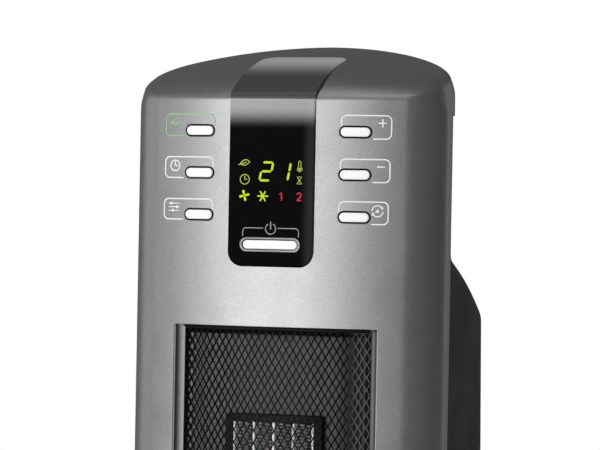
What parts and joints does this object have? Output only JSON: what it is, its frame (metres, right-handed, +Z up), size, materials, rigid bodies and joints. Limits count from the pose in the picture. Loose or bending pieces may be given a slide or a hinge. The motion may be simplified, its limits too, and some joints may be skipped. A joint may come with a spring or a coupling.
{
  "type": "tower heater",
  "caption": "Upright ceramic fan heater with a leaning curved front, a display strip with push buttons, a bowed net grille and an oval foot on which it swings.",
  "frame": {"origin": "on the floor, on the axis on which the tower swings over its oval foot", "axes": "+Z up, the front looks along -Y, and +X is to the right of someone who looks at the front"},
  "size_m": [0.26, 0.214, 0.6102],
  "materials": {
    "silver_paint": "satin",
    "black_plastic": "satin",
    "black_gloss": "gloss",
    "white_plastic": "satin",
    "bright_metal": "satin",
    "dark_metal": "satin",
    "grey_plastic": "matte",
    "rubber": "matte",
    "board_green": "matte"
  },
  "bodies": {
    "base": {"base_cover": "black_plastic", "base_plate": "dark_metal", "rubber_foot_1": "rubber", "rubber_foot_2": "rubber", "rubber_foot_3": "rubber", "rubber_foot_4": "rubber", "swivel_post": "grey_plastic", "slip_ring": "white_plastic", "post_clip": "bright_metal", "swivel_motor": "bright_metal"},
    "tower": {"baffle_plate": "grey_plastic", "control_board": "board_green", "cord_gland": "rubber", "display_module": "white_plastic", "display_window": "black_gloss", "dust_filter": "grey_plastic", "element_bar_1": "bright_metal", "element_bar_2": "bright_metal", "element_bar_3": "bright_metal", "element_bar_4": "bright_metal", "element_bar_5": "bright_metal", "element_frame": "black_plastic", "fan_duct": "grey_plastic", "fan_motor": "dark_metal", "fin_column_1": "bright_metal", "fin_column_2": "bright_metal", "fin_column_3": "bright_metal", "fin_column_4": "bright_metal", "front_shell": "silver_paint", "grille_mesh": "black_plastic", "grille_surround": "black_plastic", "grip_cup": "black_plastic", "housing_screw_1": "dark_metal", "housing_screw_2": "dark_metal", "housing_screw_3": "dark_metal", "housing_screw_4": "dark_metal", "intake_grille": "black_plastic", "lower_bearing": "bright_metal", "power_board": "board_green", "power_ring": "bright_metal", "rear_housing": "black_plastic", "rocker_bezel": "black_plastic", "thermal_cutout": "white_plastic", "tilt_switch": "black_plastic", "top_tile": "black_gloss", "tower_floor": "black_plastic"},
    "power_button": {"power_button": "white_plastic"},
    "eco_button": {"eco_button": "white_plastic"},
    "timer_button": {"timer_button": "white_plastic"},
    "mode_button": {"mode_button": "white_plastic"},
    "plus_button": {"plus_button": "white_plastic"},
    "minus_button": {"minus_button": "white_plastic"},
    "swing_button": {"swing_button": "white_plastic"},
    "fan_wheel": {"impeller": "black_plastic", "impeller_shaft": "bright_metal"},
    "crank": {"crank": "white_plastic"},
    "mains_rocker": {"mains_rocker": "black_gloss"}
  },
  "joints": [
    {"name": "tower_swing", "type": "hinge", "parent": "base", "child": "tower", "pos_m": [0, 0, 0.033], "axis": [0, 0, 1], "range_deg": [-30, 30]},
    {"name": "power_button_press", "type": "slide", "parent": "tower", "child": "power_button", "axis": [0, 0.9981, -0.0611], "range_m": [0, 0.0012], "stiffness_N_per_m": 400, "springref_m": -0.0005},
    {"name": "eco_button_press", "type": "slide", "parent": "tower", "child": "eco_button", "axis": [0.133, 0.9893, -0.0605], "range_m": [0, 0.0012], "stiffness_N_per_m": 400, "springref_m": -0.0005},
    {"name": "timer_button_press", "type": "slide", "parent": "tower", "child": "timer_button", "axis": [0.133, 0.9893, -0.0605], "range_m": [0, 0.0012], "stiffness_N_per_m": 400, "springref_m": -0.0005},
    {"name": "mode_button_press", "type": "slide", "parent": "tower", "child": "mode_button", "axis": [0.133, 0.9893, -0.0605], "range_m": [0, 0.0012], "stiffness_N_per_m": 400, "springref_m": -0.0005},
    {"name": "plus_button_press", "type": "slide", "parent": "tower", "child": "plus_button", "axis": [-0.133, 0.9893, -0.0605], "range_m": [0, 0.0012], "stiffness_N_per_m": 400, "springref_m": -0.0005},
    {"name": "minus_button_press", "type": "slide", "parent": "tower", "child": "minus_button", "axis": [-0.133, 0.9893, -0.0605], "range_m": [0, 0.0012], "stiffness_N_per_m": 400, "springref_m": -0.0005},
    {"name": "swing_button_press", "type": "slide", "parent": "tower", "child": "swing_button", "axis": [-0.133, 0.9893, -0.0605], "range_m": [0, 0.0012], "stiffness_N_per_m": 400, "springref_m": -0.0005},
    {"name": "fan_spin", "type": "hinge", "parent": "tower", "child": "fan_wheel", "pos_m": [0, 0.024, 0.25], "axis": [0, 0, 1], "continuous": true},
    {"name": "crank_spin", "type": "hinge", "parent": "base", "child": "crank", "pos_m": [0, 0.04, 0.022], "axis": [0, 0, 1], "continuous": true},
    {"name": "rocker_tilt", "type": "hinge", "parent": "tower", "child": "mains_rocker", "pos_m": [-0.038, 0.08077, 0.078], "axis": [1, 0, 0], "range_deg": [0, 14]}
  ]
}
